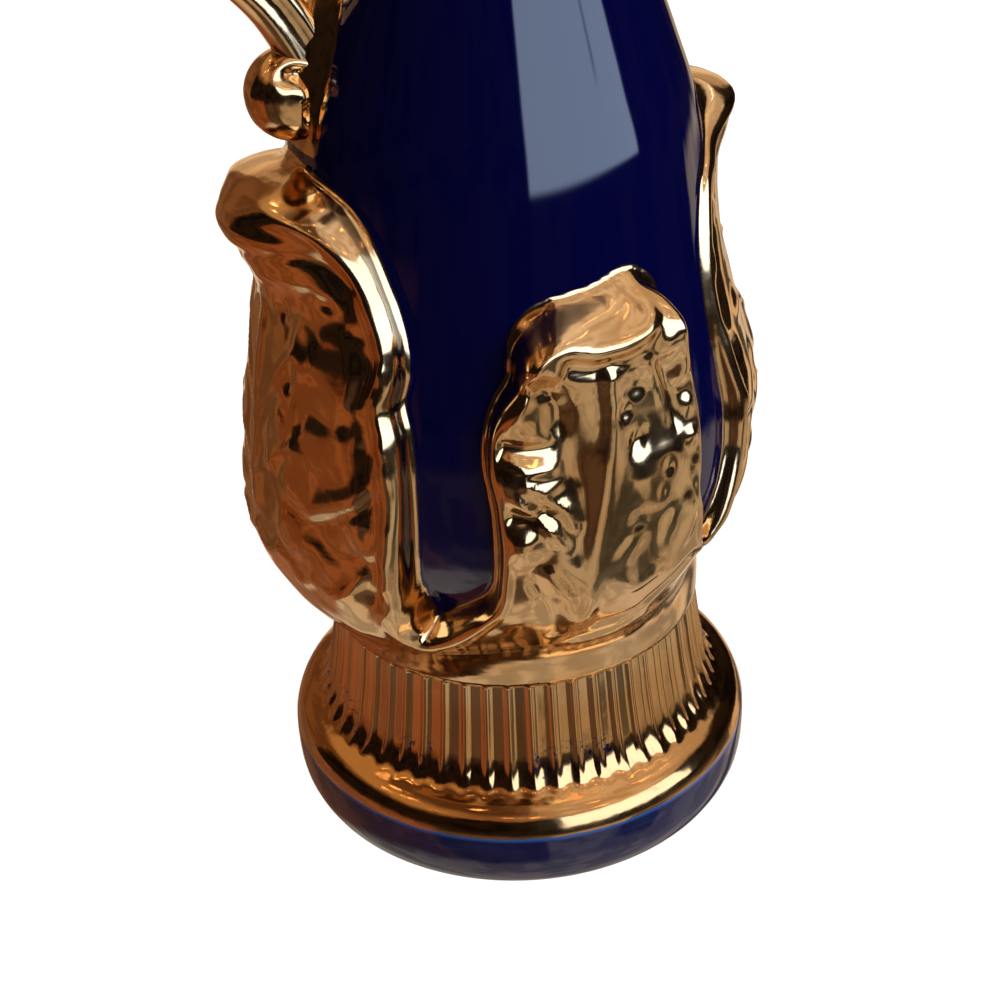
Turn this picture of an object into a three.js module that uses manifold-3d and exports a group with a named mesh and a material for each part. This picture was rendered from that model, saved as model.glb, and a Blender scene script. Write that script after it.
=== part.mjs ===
// Pitcher vase: hollow fired body on a fluted foot, wrapped in four raised leaves, with a scroll handle.
// Millimetres, +Z up, underside at z = 0, spout towards +X, handle towards -X.
// Built round the foot's axis, then centred between the handle and the spout.
import * as THREE from "three";
import { mergeVertices } from "three/addons/utils/BufferGeometryUtils.js";
import Module from "manifold-3d";

const wasm = await Module();
wasm.setup();

const RAD = Math.PI / 180;

// Underside
const RECESS_DEPTH = 4;
const RECESS_RADIUS = 43;
const FOOT_RING_INNER = 47;
const FOOT_RING_OUTER = 51.2;
const UNDERSIDE_COLUMNS = 56;

// Foot band and shoulder, radius and height
const FOOT_PROFILE = [[52.4, 1], [54.3, 6.4], [54.4, 12], [53.8, 14.8], [53.1, 17.6], [50.6, 20.2]];

// Fluted wall, radius of the ridges and height
const FLUTE_COUNT = 56;
const FLUTE_DEPTH = 1.4;
const FLUTE_TOE = [47.8, 21];
const FLUTE_PROFILE = [[46.4, 23.6], [44.6, 30.4], [43.4, 37], [42.6, 43]];
const GROOVE = [41.2, 46.4];

// Body of revolution behind the leaves, height and radius
const BODY_PROFILE = [
  [46.4, 41.2], [48, 42.6], [52, 42.6], [58, 42.2], [64, 43.4], [70, 46.2], [76, 49], [82, 50.6], [88, 51.2],
  [98, 51], [110, 49.4], [122, 47.2], [134, 44.9], [146, 43], [158, 41], [164, 39.5], [170, 37.4], [176, 35.3],
  [184, 32.4], [195, 28.4], [210, 23.8], [225, 20.4], [240, 18.6], [255, 18.4], [270, 20.2], [283, 23.2],
  [294, 26.2], [300, 27.6],
];

// Faces of the leaves, height and radius
const HANDLE_LEAF_FACE = [
  [46.4, 41.2], [48, 42.9], [50, 44.6], [55, 48.7], [60, 52.4], [65, 55.7], [70, 57.7], [75, 58.5], [80, 58.3],
  [92, 57.4], [104, 55.5], [116, 53.3], [122, 51.9], [128, 50.6], [134, 52], [139, 54.4], [143, 56.8],
  [146.4, 57.9], [149, 57.3], [151, 54.6], [153, 49.8], [155.2, 43.4],
];
const SPOUT_LEAF_FACE = [
  [46.4, 41.2], [48, 42.6], [52, 42.8], [56, 42.8], [60, 43.4], [65, 45.2], [70, 48], [75, 51], [80, 53.4],
  [86, 54.4], [98, 54.8], [104, 54.3], [110, 52.6], [116, 50.8], [122, 49.2], [128, 47.8], [134, 46.8], [140, 47],
  [146, 49.6], [151, 52.9], [154.6, 54], [157, 52.6], [159, 48.4], [160.6, 43.2],
];
const SIDE_LEAF_FACE = [
  [46.4, 41.2], [48, 42.8], [50, 43.8], [55, 46], [60, 48.4], [65, 51], [70, 53.4], [75, 55.2], [80, 56.2],
  [92, 56.4], [104, 55.2], [112, 53.6], [118, 53], [124, 54.6], [129, 56.2], [131.6, 55.4], [134, 52.2],
  [136.4, 48],
];

// Edge of the leaves round one half, angle from the side towards the spout, and height
const LEAF_EDGE = {
  handleLeaf: [
    [61.6, -48.6], [66, -48.2], [70, -47.2], [76, -45.8], [85, -44.6], [98, -44], [110, -44.6], [117, -46.4],
    [122, -45.4], [128, -45.6], [134.4, -47.8], [139, -50.4], [144, -53.6], [148.2, -57.8], [151.6, -63.4],
    [153.6, -71], [155.2, -82], [158, -62],
  ],
  sideLeafHandleEdge: [
    [61.6, -45], [65, -38.6], [70, -31.6], [75.6, -26.8], [80, -26], [87, -25.4], [98, -25.8], [106, -27.2],
    [114, -26.4], [119, -24.2], [123, -21.2], [129, -19.8], [133, -15.8], [136.6, -9], [141, -20], [148, -27],
  ],
  sideLeafSpoutEdge: [
    [76, 26.6], [79, 24.4], [83, 23.2], [88, 22.4], [94, 21], [102, 21.8], [110, 21.8], [116, 20.4], [122, 18],
    [128, 15], [133, 11.8], [136.6, 7], [141, 18], [148, 23],
  ],
  spoutLeaf: [
    [76, 28.6], [80, 31], [85, 33.6], [90, 36.2], [94, 37.6], [99, 38], [105, 38.6], [116, 37.4], [126, 37.2],
    [136, 38.6], [147, 44], [152, 53], [155.8, 65], [160.4, 82], [162, 62],
  ],
};
const GAP_FLOOR_HANDLE_SIDE = 62;
const GAP_FLOOR_SPOUT_SIDE = 76;
const HANDLE_LEAF_TOP = 155.4;
const SPOUT_LEAF_TOP = 160.8;
const SIDE_LEAF_TOP = 136.8;
const EDGE_WIDTH = 1.8;
const HANDLE_TIP_SPREAD = 2;
const SPOUT_TIP_SPREAD = 2.6;

// Relief on the faces of the leaves
const RIM_ROLL = 0.9;
const RIB_DEPTH = 1.1;
const VEIN_DEPTH = 0.8;
const VEIN_PITCH = 19;
const VEIN_SLANT = -0.55;

// Leaf spur up the body above the handle's scroll
const SPUR_FROM = 159;
const SPUR_TO = 208;
const SPUR_HEIGHT = 5;
const SPUR_HALF_ANGLE = 12.4;

// Mouth and spout
const MOUTH_FROM = 250;
const RIM_HEIGHT = 300;
const SPOUT_REACH = 20;
const SPOUT_RISE = 34;
const BACK_RISE = 7;
const MOUTH_PINCH = 0.14;

// Walls and the cavity, radius and height
const FLOOR_HEIGHT = 9;
const CAVITY_FOOT = [[38, 9], [43.5, 10], [45, 12.5], [44, 15.5], [41, 22], [38.6, 31], [37, 41], [36.2, 48]];
const CAVITY_HEIGHTS = [57, 66, 75, 86, 100, 118, 136, 152, 164, 178, 194, 212, 232, 254, 272, 287];
const WALL = 5;
const NECK_WALL = 4.4;

// Handle, path of its middle from the scroll to the rim, in the plane of the handle
const HANDLE_PATH = [
  [-35.4, 174.4], [-43.2, 185.6], [-53.8, 198], [-66.6, 214.6], [-77, 236], [-81.5, 258], [-77, 280], [-65, 296.5],
  [-50, 305], [-36, 303.5], [-22, 297],
];
const ARM_WIDTH = 10.2;
const ARM_THICKNESS = 10;
const ARM_GROOVE = 1.4;
const ARM_STEPS = 26;
const SCROLL_CENTRE = [-40.8, 168.4];
const SCROLL_RADIUS = 8.8;
const SCROLL_HALF_WIDTH = 7;
const SCROLL_EYE = 3.4;

const LEAF_COLUMNS = [10, 12, 10];
const NECK_COLUMNS = 40;
const CAVITY_COLUMNS = 28;
const LEAF_ROWS = [
  48, 51, 57, 61.2, 63, 70, 75, 77.2, 83, 91, 99, 107, 114, 120, 125, 129, 133, 136.6, 141, 146, 149.6, 152.6,
  155.2, 158.2, 161.8,
];
const NECK_ROWS = [166, 174, 182, 191, 201, 212, 226, 242, 256, 268, 279, 289];

function ramp(from, to, value) {
  const t = Math.min(1, Math.max(0, (value - from) / (to - from)));
  return t * t * (3 - 2 * t);
}

// Smooth value of a table at x, without overshoot between its rows
function along(table, x) {
  const last = table.length - 1;
  if (x <= table[0][0]) return table[0][1];
  if (x >= table[last][0]) return table[last][1];
  let i = 0;
  while (table[i + 1][0] < x) i += 1;
  const slope = (k) => (table[k + 1][1] - table[k][1]) / (table[k + 1][0] - table[k][0]);
  const tangent = (k) => {
    if (k === 0) return slope(0);
    if (k === last) return slope(last - 1);
    const before = slope(k - 1);
    const after = slope(k);
    return before * after <= 0 ? 0 : (2 * before * after) / (before + after);
  };
  const width = table[i + 1][0] - table[i][0];
  const t = (x - table[i][0]) / width;
  const a = table[i][1];
  const b = table[i + 1][1];
  return (1 + 2 * t) * (1 - t) ** 2 * a + t * (1 - t) ** 2 * width * tangent(i)
    + t * t * (3 - 2 * t) * b + t * t * (t - 1) * width * tangent(i + 1);
}

const bodyRadius = (z) => along(BODY_PROFILE, z);

// Angle from the side (-Y or +Y) towards the spout, from an angle round the axis that starts at +X
const sideAngle = (turn) => {
  const folded = Math.abs(((turn + 540) % 360) - 180);
  return 90 - folded;
};

// Edge angles of the leaves at a height
function edges(z) {
  return {
    handle: along(LEAF_EDGE.handleLeaf, z),
    sideA: along(LEAF_EDGE.sideLeafHandleEdge, z),
    sideB: along(LEAF_EDGE.sideLeafSpoutEdge, z),
    spout: along(LEAF_EDGE.spoutLeaf, z),
  };
}

// Relief of one leaf: distance from its middle as a share of its half width, height and half width
function leafRelief(share, z, width) {
  const inset = (1 - Math.abs(share)) * width;
  const rim = RIM_ROLL * Math.exp(-(((inset - 3.2) / 2.4) ** 2)) * ramp(64, 74, z);
  const rib = -RIB_DEPTH * Math.exp(-((share * width / 2.2) ** 2)) * ramp(60, 76, z) * (1 - ramp(112, 124, z));
  const slant = z + VEIN_SLANT * Math.abs(share) * width;
  const vein = -VEIN_DEPTH * Math.max(0, Math.cos((2 * Math.PI * slant) / VEIN_PITCH)) * ramp(66, 78, z)
    * (1 - ramp(108, 120, z)) * ramp(0, 5, inset);
  return rim + rib + vein;
}

// Radius of the cup that the leaves grow from, fuller towards the handle
function cupRadius(angle, z) {
  const toHandle = 1 - ramp(-62, -20, angle);
  const toSpout = ramp(5, 46, angle);
  return toHandle * along(HANDLE_LEAF_FACE, z) + toSpout * along(SPOUT_LEAF_FACE, z)
    + (1 - toHandle - toSpout) * along(SIDE_LEAF_FACE, z);
}

// Radius of the outside at an angle from the side and a height
function outerRadius(angle, z) {
  const body = bodyRadius(z);
  const edge = edges(z);
  const arc = body * RAD;
  let face = body;
  let inside = 0;
  let relief = 0;
  const tall = (table, fromMiddle, spread, top) => {
    if (z > top) return body;
    if (z < 128) return cupRadius(angle, z) + (along(table, z) - cupRadius(angle, z)) * ramp(80, 92, z);
    const curl = Math.cos(Math.min(90, fromMiddle * spread) * RAD) ** 2;
    const flat = body + along(table, 128) - bodyRadius(128);
    return flat + (along(table, z) - flat) * curl;
  };
  if (angle <= edge.handle) {
    face = tall(HANDLE_LEAF_FACE, 90 + angle, HANDLE_TIP_SPREAD, HANDLE_LEAF_TOP);
    inside = (edge.handle - angle) * arc;
    relief = leafRelief((angle + 90) / (edge.handle + 90), z, (edge.handle + 90) * arc);
  } else if (angle >= edge.spout) {
    face = tall(SPOUT_LEAF_FACE, 90 - angle, SPOUT_TIP_SPREAD, SPOUT_LEAF_TOP);
    inside = (angle - edge.spout) * arc;
    relief = leafRelief((90 - angle) / (90 - edge.spout), z, (90 - edge.spout) * arc);
  } else if (angle >= edge.sideA && angle <= edge.sideB) {
    const middle = (edge.sideA + edge.sideB) / 2;
    const half = (edge.sideB - edge.sideA) / 2;
    const cup = cupRadius(angle, z);
    face = z < SIDE_LEAF_TOP ? cup + (along(SIDE_LEAF_FACE, z) - cup) * ramp(80, 92, z) : body;
    inside = Math.min(angle - edge.sideA, edge.sideB - angle) * arc;
    relief = leafRelief((angle - middle) / half, z, half * arc);
  }
  if (z < (angle < 0 ? GAP_FLOOR_HANDLE_SIDE : GAP_FLOOR_SPOUT_SIDE)) {
    face = cupRadius(angle, z);
    inside = EDGE_WIDTH;
  }
  const spurWidth = SPUR_HALF_ANGLE * Math.sqrt(Math.max(0, 1 - ramp(SPUR_FROM + 14, SPUR_TO, z)));
  const spurShare = spurWidth > 0 ? Math.min(1, (90 + angle) / spurWidth) : 1;
  const spur = SPUR_HEIGHT * ramp(SPUR_FROM, SPUR_FROM + 12, z) * (1 - ramp(SPUR_FROM + 22, SPUR_TO, z))
    * Math.sqrt(Math.max(0, 1 - spurShare ** 2));
  return body + Math.max(0, face - body + relief) * ramp(0, EDGE_WIDTH, inside) + spur;
}

// Point of the mouth's surface: pinched at the sides, drawn out and up at the spout, raised at the handle
function mouthPoint(turn, radius, z) {
  const share = ramp(MOUTH_FROM, RIM_HEIGHT, z);
  const cos = Math.cos(turn * RAD);
  const sin = Math.sin(turn * RAD);
  const front = ((1 + cos) / 2) ** 2.4;
  const back = ((1 - cos) / 2) ** 3;
  const wide = radius * (1 - MOUTH_PINCH * share * sin * sin);
  return new THREE.Vector3(
    wide * cos + SPOUT_REACH * share * share * front,
    wide * sin * (1 - 0.34 * share * front),
    z + share ** 2 * (SPOUT_RISE * front + BACK_RISE * back),
  );
}

function ring(count, radius, z) {
  const points = [];
  for (let i = 0; i < count; i += 1) {
    const turn = (360 * i) / count;
    const r = typeof radius === "function" ? radius(turn, i) : radius;
    points.push(new THREE.Vector3(r * Math.cos(turn * RAD), r * Math.sin(turn * RAD), z));
  }
  return points;
}

// Columns of the leaf zone at a height, as angles round the axis, set on the leaves' edges
function leafColumns(z) {
  const edge = edges(z);
  const step = EDGE_WIDTH / (bodyRadius(z) * RAD);
  const half = [];
  const spread = (from, to, count) => {
    for (let i = 0; i < count; i += 1) half.push(from + ((to - from) * i) / count);
  };
  const [handleCount, sideCount, spoutCount] = LEAF_COLUMNS;
  spread(90, edge.spout + step, spoutCount - 1);
  half.push(edge.spout + step, edge.spout);
  half.push((edge.spout + edge.sideB) / 2);
  half.push(edge.sideB);
  spread(edge.sideB - step, edge.sideA + step, sideCount - 2);
  half.push(edge.sideA + step, edge.sideA);
  half.push((edge.sideA + edge.handle) / 2);
  half.push(edge.handle);
  spread(edge.handle - step, -90, handleCount - 1);
  half.push(-90);
  const turns = half.map((angle) => 90 - angle);
  const back = turns.slice(1, -1).reverse().map((turn) => 360 - turn);
  return turns.concat(back);
}

// Closed solid through rings of points that run counter-clockwise seen from above; a one-point ring is a pole
function loft(rings) {
  const vertices = [];
  const starts = rings.map((points) => {
    const start = vertices.length / 3;
    points.forEach((p) => vertices.push(p.x, p.y, p.z));
    return start;
  });
  const faces = [];
  const at = (k) => new THREE.Vector3(vertices[3 * k], vertices[3 * k + 1], vertices[3 * k + 2]);
  for (let k = 0; k + 1 < rings.length; k += 1) {
    const n = rings[k].length;
    const m = rings[k + 1].length;
    const a = (i) => starts[k] + (i % n);
    const b = (i) => starts[k + 1] + (i % m);
    if (n === 1) {
      for (let i = 0; i < m; i += 1) faces.push(a(0), b(i + 1), b(i));
    } else if (m === 1) {
      for (let i = 0; i < n; i += 1) faces.push(a(i), a(i + 1), b(0));
    } else if (n === m) {
      for (let i = 0; i < n; i += 1) {
        const rising = at(a(i)).distanceTo(at(b(i + 1)));
        const falling = at(a(i + 1)).distanceTo(at(b(i)));
        if (falling <= rising) faces.push(a(i), a(i + 1), b(i), a(i + 1), b(i + 1), b(i));
        else faces.push(a(i), a(i + 1), b(i + 1), a(i), b(i + 1), b(i));
      }
    } else {
      const turnOf = (points, i) => (i >= points.length ? 360 : (Math.atan2(points[i].y, points[i].x) / RAD + 360) % 360);
      let i = 0;
      let j = 0;
      while (i < n || j < m) {
        if (j >= m || (i < n && turnOf(rings[k], i + 1) <= turnOf(rings[k + 1], j + 1))) {
          faces.push(a(i), a(i + 1), b(j));
          i += 1;
        } else {
          faces.push(a(i), b(j + 1), b(j));
          j += 1;
        }
      }
    }
  }
  const geometry = new THREE.BufferGeometry();
  geometry.setAttribute("position", new THREE.Float32BufferAttribute(vertices, 3));
  geometry.setIndex(faces);
  return geometry;
}

function solid(geometry) {
  const bare = new THREE.BufferGeometry();
  bare.setAttribute("position", geometry.getAttribute("position").clone());
  if (geometry.index) bare.setIndex(geometry.index.clone());
  const merged = mergeVertices(bare, 1e-4);
  return new wasm.Manifold(new wasm.Mesh({
    numProp: 3,
    vertProperties: new Float32Array(merged.getAttribute("position").array),
    triVerts: new Uint32Array(merged.index.array),
  }));
}

// Rings of the inside from the rim's inner edge down to the floor
function cavityRings(offset) {
  const rings = [];
  [...CAVITY_HEIGHTS].reverse().forEach((z) => {
    const wall = z > 200 ? NECK_WALL : WALL;
    const radius = bodyRadius(z) - wall + offset;
    rings.push(Array.from({ length: CAVITY_COLUMNS }, (_, i) => mouthPoint((360 * i) / CAVITY_COLUMNS, radius, z)));
  });
  return rings;
}

function vessel() {
  const rings = [[new THREE.Vector3(0, 0, RECESS_DEPTH)]];
  rings.push(ring(UNDERSIDE_COLUMNS, RECESS_RADIUS, RECESS_DEPTH));
  rings.push(ring(UNDERSIDE_COLUMNS, FOOT_RING_INNER, 0));
  rings.push(ring(UNDERSIDE_COLUMNS, FOOT_RING_OUTER, 0));
  FOOT_PROFILE.forEach(([radius, z]) => rings.push(ring(UNDERSIDE_COLUMNS, radius, z)));
  rings.push(ring(2 * FLUTE_COUNT, FLUTE_TOE[0], FLUTE_TOE[1]));
  FLUTE_PROFILE.forEach(([radius, z]) => {
    rings.push(ring(2 * FLUTE_COUNT, (_, i) => (i % 2 ? radius - FLUTE_DEPTH : radius), z));
  });
  rings.push(ring(UNDERSIDE_COLUMNS, GROOVE[0], GROOVE[1]));
  LEAF_ROWS.forEach((z) => {
    rings.push(leafColumns(z).map((turn) => {
      const r = outerRadius(sideAngle(turn), z);
      return new THREE.Vector3(r * Math.cos(turn * RAD), r * Math.sin(turn * RAD), z);
    }));
  });
  NECK_ROWS.forEach((z) => {
    rings.push(Array.from({ length: NECK_COLUMNS }, (_, i) => {
      const turn = (360 * i) / NECK_COLUMNS;
      return mouthPoint(turn, outerRadius(sideAngle(turn), z), z);
    }));
  });
  const rim = bodyRadius(RIM_HEIGHT);
  const mouthRing = (count, inset, drop) => Array.from({ length: count }, (_, i) => {
    const point = mouthPoint((360 * i) / count, rim - inset, RIM_HEIGHT);
    point.z -= drop;
    return point;
  });
  rings.push(mouthRing(NECK_COLUMNS, -0.3, 2.2));
  rings.push(mouthRing(NECK_COLUMNS, 0.8, 0.3));
  rings.push(mouthRing(NECK_COLUMNS, 3, 0.2));
  rings.push(mouthRing(CAVITY_COLUMNS, 4.2, 2));
  rings.push(...cavityRings(0));
  [...CAVITY_FOOT].reverse().forEach(([radius, z]) => rings.push(ring(CAVITY_COLUMNS, radius, z)));
  rings.push([new THREE.Vector3(0, 0, FLOOR_HEIGHT)]);
  return solid(loft(rings));
}

// Space inside the mouth, up to the middle of its wall
function mouthCore() {
  const lower = cavityRings(NECK_WALL / 2).slice(0, 4).reverse();
  const top = Array.from({ length: CAVITY_COLUMNS }, (_, i) => (
    mouthPoint((360 * i) / CAVITY_COLUMNS, bodyRadius(RIM_HEIGHT) - 2, RIM_HEIGHT)));
  const above = top.map((p) => new THREE.Vector3(p.x, p.y, p.z + 30));
  const rings = [[new THREE.Vector3(0, 0, lower[0][0].z)], ...lower, top, above,
    [new THREE.Vector3(0, 0, RIM_HEIGHT + 40)]];
  return solid(loft(rings));
}

// Arm of the handle: a section with a groove along each side, swept in the handle's plane
function arm() {
  const path = new THREE.CatmullRomCurve3(HANDLE_PATH.map(([x, z]) => new THREE.Vector3(x, 0, z)));
  const halfWidth = ARM_WIDTH / 2;
  const halfThickness = ARM_THICKNESS / 2;
  const section = [
    [1, 0.35], [0.72, 0.88], [0.3, 1], [0, 1 - ARM_GROOVE / halfThickness], [-0.3, 1], [-0.72, 0.88], [-1, 0.35],
    [-1, -0.35], [-0.72, -0.88], [-0.3, -1], [0, -1 + ARM_GROOVE / halfThickness], [0.3, -1], [0.72, -0.88],
    [1, -0.35],
  ];
  const rings = [];
  for (let i = 0; i <= ARM_STEPS; i += 1) {
    const t = i / ARM_STEPS;
    const point = path.getPointAt(t);
    const tangent = path.getTangentAt(t);
    const across = new THREE.Vector3(tangent.z, 0, -tangent.x);
    const grow = 1 - 0.16 * Math.sin(Math.PI * t);
    rings.push(section.map(([u, v]) => (
      point.clone().addScaledVector(across, u * halfWidth * grow)
        .add(new THREE.Vector3(0, v * halfThickness * grow, 0)))));
  }
  const start = path.getPointAt(0);
  const end = path.getPointAt(1);
  return solid(loft([[start], ...rings, [end]]));
}

// Scroll at the foot of the handle, turned about a level axis
function scroll() {
  const w = SCROLL_HALF_WIDTH;
  const r = SCROLL_RADIUS;
  const half = [[0, w + 1], [SCROLL_EYE * 0.8, w + 0.5], [SCROLL_EYE, w - 1], [SCROLL_EYE + 1.2, w - 1.2],
    [r * 0.76, w - 0.2], [r * 0.96, w * 0.62], [r, 0]];
  const profile = [...half.map(([x, y]) => [x, -y]), ...half.slice(0, -1).reverse()];
  const lathe = new THREE.LatheGeometry(profile.map(([x, y]) => new THREE.Vector2(x, y)), 16);
  lathe.translate(SCROLL_CENTRE[0], 0, SCROLL_CENTRE[1]);
  return solid(lathe);
}

const handle = arm().subtract(mouthCore());
const whole = vessel().add(handle).add(scroll());

const mesh = whole.getMesh();
const geometry = new THREE.BufferGeometry();
geometry.setAttribute("position", new THREE.BufferAttribute(new Float32Array(mesh.vertProperties), 3));
geometry.setIndex(new THREE.BufferAttribute(new Uint32Array(mesh.triVerts), 1));
geometry.computeBoundingBox();
geometry.translate(-(geometry.boundingBox.min.x + geometry.boundingBox.max.x) / 2, 0, 0);

const vase = new THREE.Mesh(geometry, new THREE.MeshStandardMaterial({
  color: 0x14206b, roughness: 0.18, metalness: 0,
}));
vase.name = "pitcher_vase";

const group = new THREE.Group();
group.add(vase);
export default group;
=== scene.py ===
"""Cobalt and gold pitcher vase: the visual model on the CAD frame, with its light and camera."""

from __future__ import annotations

import logging
import math
from dataclasses import dataclass, field

import bpy
import numpy as np
from mathutils import Matrix, Vector


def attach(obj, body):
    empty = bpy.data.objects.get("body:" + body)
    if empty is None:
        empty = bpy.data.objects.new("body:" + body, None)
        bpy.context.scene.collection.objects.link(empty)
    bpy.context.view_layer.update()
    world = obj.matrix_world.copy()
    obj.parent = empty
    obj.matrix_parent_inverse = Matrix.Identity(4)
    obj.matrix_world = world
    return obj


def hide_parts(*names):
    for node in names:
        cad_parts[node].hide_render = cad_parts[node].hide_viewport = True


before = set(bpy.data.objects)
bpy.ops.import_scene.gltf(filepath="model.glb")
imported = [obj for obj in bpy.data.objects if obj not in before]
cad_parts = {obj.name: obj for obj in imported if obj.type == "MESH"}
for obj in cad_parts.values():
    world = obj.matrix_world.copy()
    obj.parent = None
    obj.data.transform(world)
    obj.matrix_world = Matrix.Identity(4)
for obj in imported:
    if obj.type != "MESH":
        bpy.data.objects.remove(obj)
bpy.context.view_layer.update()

log = logging.getLogger("pitcher_vase")

MM = 0.001
AXIS_X = 15.625
LEAF_ARC = math.radians(1.0) * 51.0
ALL_GOLD = 5.0
ALL_GLAZE = -20.0

Colour = tuple[float, float, float]
Span = tuple[float, float]


def ramp(low: float, high: float, value: np.ndarray) -> np.ndarray:
    """Smooth step.

    Args:
        low: Value at which the step starts.
        high: Value at which it ends.
        value: Where to read it.

    Returns:
        0 below low, 1 above high and a smooth rise between.
    """
    t = np.clip((np.asarray(value, float) - low) / (high - low), 0.0, 1.0)
    return t * t * (3.0 - 2.0 * t)


def bell(value: np.ndarray, middle: float, width: float) -> np.ndarray:
    """Rounded bump.

    Args:
        value: Where to read it.
        middle: Place of the peak.
        width: Distance from the peak at which it has fallen to a third.

    Returns:
        1 at the peak, falling to 0 on both sides.
    """
    return np.exp(-(((np.asarray(value, float) - middle) / width) ** 2))


def spline(knots: np.ndarray, steps: int) -> np.ndarray:
    """Smooth line through points.

    Args:
        knots: Points, one per row.
        steps: Points to make on the way from each knot to the next.

    Returns:
        Points of the line, up to and with the last knot.
    """
    line = []
    for i in range(len(knots) - 1):
        a, b = knots[max(i - 1, 0)], knots[i]
        c, d = knots[i + 1], knots[min(i + 2, len(knots) - 1)]
        for k in range(steps):
            t = k / steps
            line.append(0.5 * (
                2 * b + (c - a) * t + (2 * a - 5 * b + 4 * c - d) * t * t + (3 * b - a - 3 * c + d) * t ** 3
            ))
    line.append(knots[-1])
    return np.array(line)


def make_piece(
    name: str, points: np.ndarray, faces: list[list[int]], gilt: np.ndarray, bare: np.ndarray
) -> bpy.types.Object:
    """Make a piece, shaded smooth, from points round the vase's axis.

    Args:
        name: Name of the piece.
        points: Points in millimetres, one per row.
        faces: Corners of each face.
        gilt: Depth inside the gilding at each point.
        bare: Share of bare clay at each point.

    Returns:
        The piece's object.
    """
    points = points.copy()
    points[:, 0] += AXIS_X
    mesh = bpy.data.meshes.new(name)
    mesh.from_pydata((points * MM).tolist(), [], faces)
    for attribute, values in (("gilt", gilt), ("bare", bare)):
        data = mesh.attributes.new(attribute, "FLOAT", "POINT").data
        data.foreach_set("value", values.astype(np.float32))
    mesh.polygons.foreach_set("use_smooth", np.ones(len(mesh.polygons), bool))
    mesh.update()
    piece = bpy.data.objects.new(name, mesh)
    bpy.context.scene.collection.objects.link(piece)
    log.info("%s: %d points, %d faces", name, len(points), len(faces))
    return piece


class Curve:
    """Smooth table of values without overshoot between its rows."""

    def __init__(self, rows: list[Span]) -> None:
        """Prepare the tangents.

        Args:
            rows: Place and value, in rising order of place.
        """
        self.x = np.array([r[0] for r in rows], float)
        self.y = np.array([r[1] for r in rows], float)
        slope = np.diff(self.y) / np.diff(self.x)
        before, after = slope[:-1], slope[1:]
        same = before * after > 0
        middle = np.where(same, 2 * before * after / np.where(same, before + after, 1.0), 0.0)
        self.tangent = np.concatenate([slope[:1], middle, slope[-1:]])

    def __call__(self, x: np.ndarray) -> np.ndarray:
        """Read the table.

        Args:
            x: Where to read it.

        Returns:
            The values there; the end values outside the table.
        """
        x = np.clip(np.asarray(x, float), self.x[0], self.x[-1])
        i = np.clip(np.searchsorted(self.x, x, side="right") - 1, 0, len(self.x) - 2)
        width = self.x[i + 1] - self.x[i]
        t = (x - self.x[i]) / width
        return (
            (1 + 2 * t) * (1 - t) ** 2 * self.y[i]
            + t * (1 - t) ** 2 * width * self.tangent[i]
            + t * t * (3 - 2 * t) * self.y[i + 1]
            + t * t * (t - 1) * width * self.tangent[i + 1]
        )


class Noise:
    """Smooth, seeded noise in space."""

    def __init__(self, seed: int, size: int = 48) -> None:
        """Fill the lattice.

        Args:
            seed: Seed of the lattice.
            size: Number of lattice points along each axis before it repeats.
        """
        self.size = size
        self.lattice = np.random.RandomState(seed).uniform(-1.0, 1.0, (size, size, size))

    def __call__(self, points: np.ndarray, pitch: float) -> np.ndarray:
        """Read the noise.

        Args:
            points: Places, one per row.
            pitch: Distance between neighbouring lattice points.

        Returns:
            Values from -1 to 1.
        """
        scaled = points / pitch + 100.37
        base = np.floor(scaled).astype(int)
        t = scaled - base
        t = t * t * t * (t * (6 * t - 15) + 10)
        total = np.zeros(len(points))
        for corner in range(8):
            step = np.array([corner & 1, (corner >> 1) & 1, (corner >> 2) & 1])
            weight = np.prod(np.where(step, t, 1 - t), axis=1)
            cell = (base + step) % self.size
            total += weight * self.lattice[cell[:, 0], cell[:, 1], cell[:, 2]]
        return total


@dataclass(frozen=True)
class Stroke:
    """Ridge or groove carved along a line on a leaf; degrees and millimetres."""

    line: tuple[Span, ...]
    width: float
    height: float

    def lift(self, x: np.ndarray, z: np.ndarray) -> np.ndarray:
        """Height of the stroke.

        Args:
            x: Place across the leaf.
            z: Height.

        Returns:
            What it adds to the surface.
        """
        points = np.array(self.line, float) * (LEAF_ARC, 1.0)
        best = np.full(x.shape, 1e9)
        for (ax, az), (bx, bz) in zip(points[:-1], points[1:]):
            dx, dz = bx - ax, bz - az
            t = np.clip(((x - ax) * dx + (z - az) * dz) / (dx * dx + dz * dz), 0, 1)
            best = np.minimum(best, (x - ax - t * dx) ** 2 + (z - az - t * dz) ** 2)
        return self.height * np.exp(-best / self.width ** 2)


@dataclass(frozen=True)
class Boss:
    """Rounded or flat-topped bump, or a hollow, on a leaf; degrees and millimetres."""

    angle: float
    z: float
    across: float
    up: float
    height: float
    flat: float = 0.0
    tilt: float = 0.0

    def lift(self, x: np.ndarray, z: np.ndarray) -> np.ndarray:
        """Height of the bump.

        Args:
            x: Place across the leaf.
            z: Height.

        Returns:
            What it adds to the surface.
        """
        c, s = math.cos(math.radians(self.tilt)), math.sin(math.radians(self.tilt))
        dx, dz = x - self.angle * LEAF_ARC, z - self.z
        across = (dx * c + dz * s) / self.across
        up = (dz * c - dx * s) / self.up
        return self.height * (1 - ramp(self.flat, 1.25, np.sqrt(across ** 2 + up ** 2)))


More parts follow.
